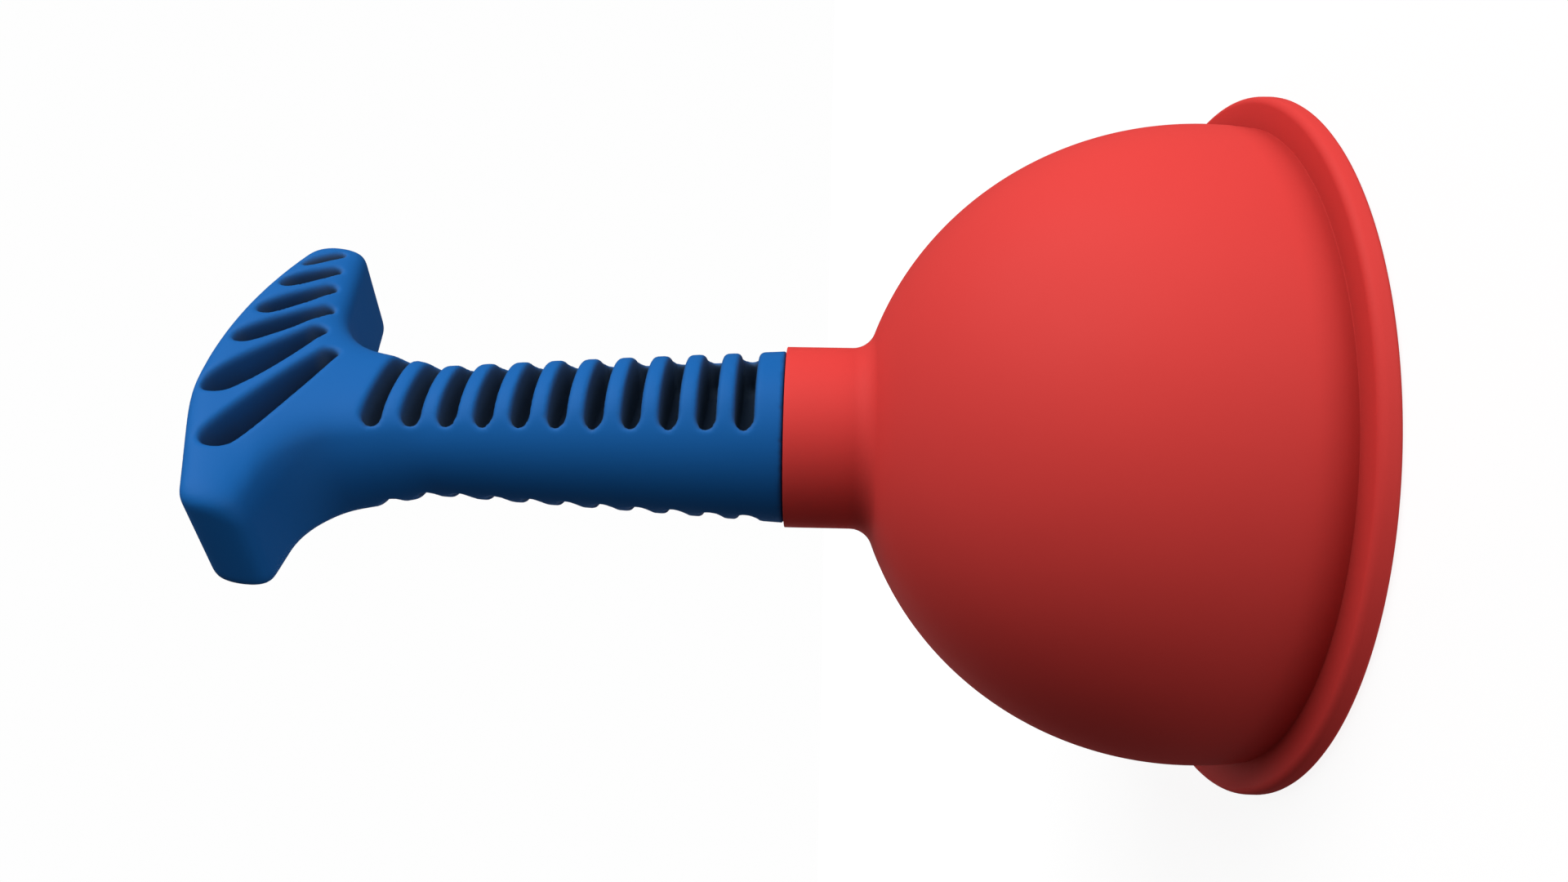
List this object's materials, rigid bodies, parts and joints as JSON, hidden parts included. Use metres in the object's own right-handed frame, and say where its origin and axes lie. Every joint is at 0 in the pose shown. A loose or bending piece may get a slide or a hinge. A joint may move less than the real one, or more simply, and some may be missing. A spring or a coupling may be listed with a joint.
{
  "type": "toilet plunger",
  "caption": "Small one-hand force cup: a hollow rubber bell with a flat lip on a moulded plastic handle with a ribbed grip and a palm head across its top.",
  "frame": {"origin": "centre of the bell's open face, on the floor that the lip rests on", "axes": "+Z along the handle, from the bell to the palm head; X along the palm head, with its long arm towards +X; -Y is the handle's front"},
  "size_m": [0.125, 0.125, 0.1932],
  "materials": {
    "rubber": "matte red natural rubber, moulded",
    "moulded_plastic": "satin blue polypropylene, moulded",
    "steel": "zinc-plated steel"
  },
  "bodies": {
    "cup": {"suction_cup": "rubber"},
    "handle": {"handle": "moulded_plastic", "clamp_washer": "steel", "fixing_screw": "steel"}
  },
  "joints": [
    {"name": "plunge_stroke", "type": "slide", "parent": "cup", "child": "handle", "axis": [0, 0, -1], "range_m": [0, 0.028], "stiffness_N_per_m": 2500, "springref_m": -0.002, "deforming": ["suction_cup"]}
  ]
}
